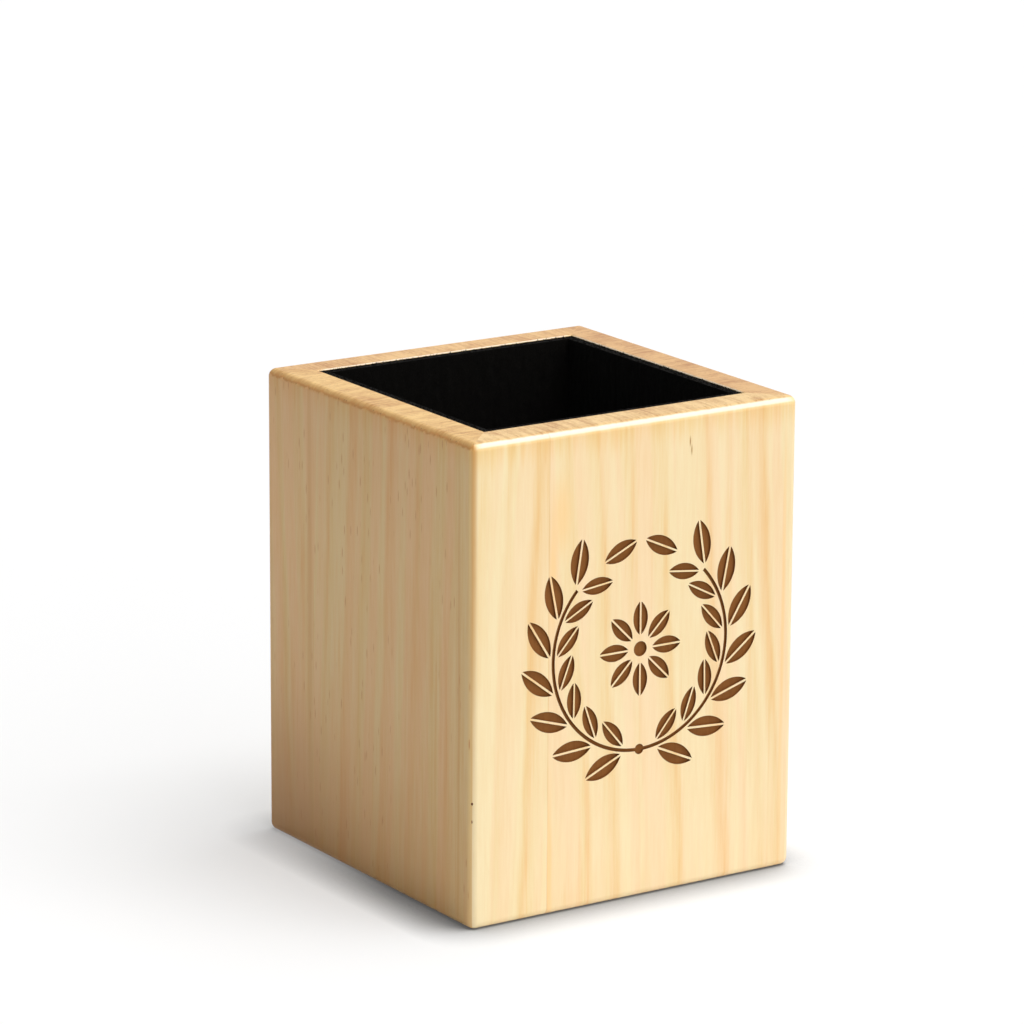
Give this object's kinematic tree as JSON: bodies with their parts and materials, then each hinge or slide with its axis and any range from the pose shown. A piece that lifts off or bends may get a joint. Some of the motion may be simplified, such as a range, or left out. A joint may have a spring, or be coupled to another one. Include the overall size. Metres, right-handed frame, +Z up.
{
  "type": "pencil cup",
  "caption": "Square open-topped wooden pencil cup with mitred edge-glued walls, an inset base and a black felt lining, for standing pens and pencils on a desk.",
  "frame": {"origin": "middle of the underside, on the surface that the cup stands on", "axes": "+Z up out of the open top, -Y towards the front face, -X towards the left face"},
  "size_m": [0.08, 0.08, 0.1016],
  "materials": {
    "maple": "pale maple with vertical grain under satin lacquer",
    "base_maple": "pale maple, sanded, with a thin matt sealer",
    "black_felt": "black pressed felt, matt, with a short fuzz"
  },
  "bodies": {
    "root": {"front_narrow_stave": "maple", "front_wide_stave": "maple", "right_narrow_stave": "maple", "right_wide_stave": "maple", "back_narrow_stave": "maple", "back_wide_stave": "maple", "left_narrow_stave": "maple", "left_wide_stave": "maple", "left_corner_stave": "maple", "base_panel": "base_maple", "felt_floor": "black_felt", "front_felt_panel": "black_felt", "right_felt_panel": "black_felt", "back_felt_panel": "black_felt", "left_felt_panel": "black_felt"}
  },
  "joints": []
}
